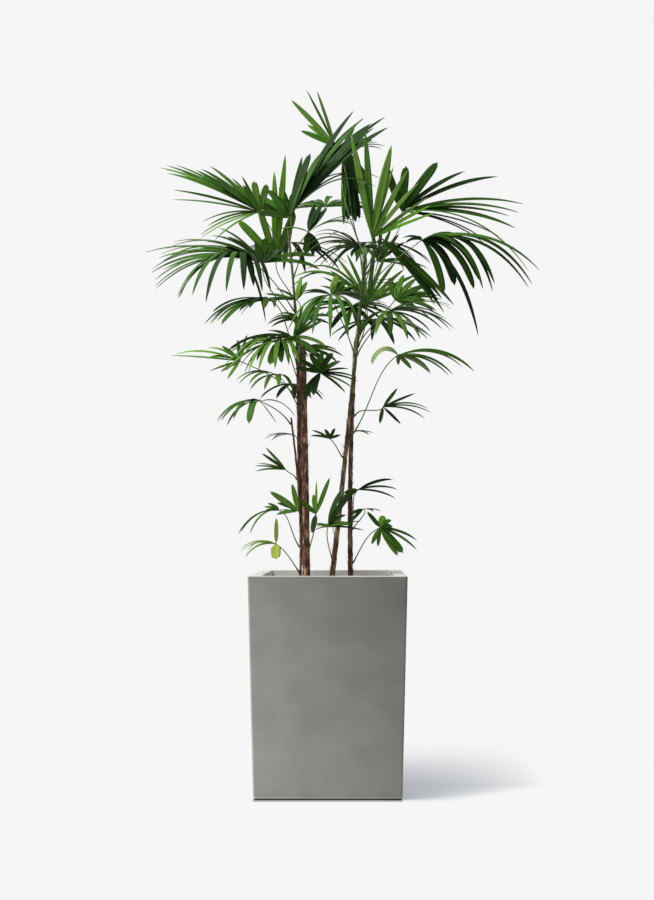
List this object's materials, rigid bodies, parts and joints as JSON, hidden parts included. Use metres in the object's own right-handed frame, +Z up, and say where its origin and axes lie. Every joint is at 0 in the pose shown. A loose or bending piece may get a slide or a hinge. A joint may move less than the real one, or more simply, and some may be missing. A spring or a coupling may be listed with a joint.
{
  "type": "potted slender lady palm",
  "caption": "Slender lady palm with a clump of canes and fan leaves on thin stalks, standing in a tall square grey planter filled with soil.",
  "frame": {"origin": "middle of the planter's underside", "axes": "+Z up, -Y towards the picture's viewer, +X to the viewer's right"},
  "size_m": [0.9242, 0.5618, 1.6666],
  "materials": {
    "pot": "smooth matte grey fibreclay with faint clouding",
    "soil": "dark loose bark compost",
    "cane": "brown fibrous sheath",
    "leaf": "satin green leaflets with fine pleats"
  },
  "bodies": {
    "root": {"pot": "pot", "soil": "soil", "cane_left_front": "cane", "cane_left_tall": "cane", "cane_left_thin": "cane", "cane_right_leaning": "cane", "cane_right_straight": "cane", "leaf_01": "leaf", "leaf_02": "leaf", "leaf_03": "leaf", "leaf_04": "leaf", "leaf_05": "leaf", "leaf_06": "leaf", "leaf_07": "leaf", "leaf_08": "leaf", "leaf_09": "leaf", "leaf_10": "leaf", "leaf_11": "leaf", "leaf_12": "leaf", "leaf_13": "leaf", "leaf_14": "leaf", "leaf_15": "leaf", "leaf_16": "leaf", "leaf_17": "leaf", "leaf_18": "leaf", "leaf_19": "leaf", "leaf_20": "leaf", "leaf_21": "leaf", "leaf_22": "leaf", "leaf_23": "leaf", "leaf_24": "leaf", "leaf_25": "leaf", "leaf_26": "leaf", "leaf_27": "leaf", "leaf_28": "leaf", "leaf_29": "leaf", "leaf_30": "leaf", "leaf_31": "leaf", "leaf_32": "leaf", "leaf_33": "leaf", "leaf_34": "leaf", "leaf_35": "leaf", "leaf_36": "leaf", "leaf_37": "leaf", "leaf_38": "leaf", "leaf_39": "leaf", "leaf_40": "leaf", "leaf_41": "leaf", "leaf_42": "leaf", "leaf_43": "leaf", "leaf_44": "leaf", "leaf_45": "leaf", "leaf_46": "leaf", "leaf_47": "leaf", "leaf_48": "leaf", "leaf_49": "leaf", "leaf_50": "leaf", "leaf_51": "leaf"}
  },
  "joints": []
}
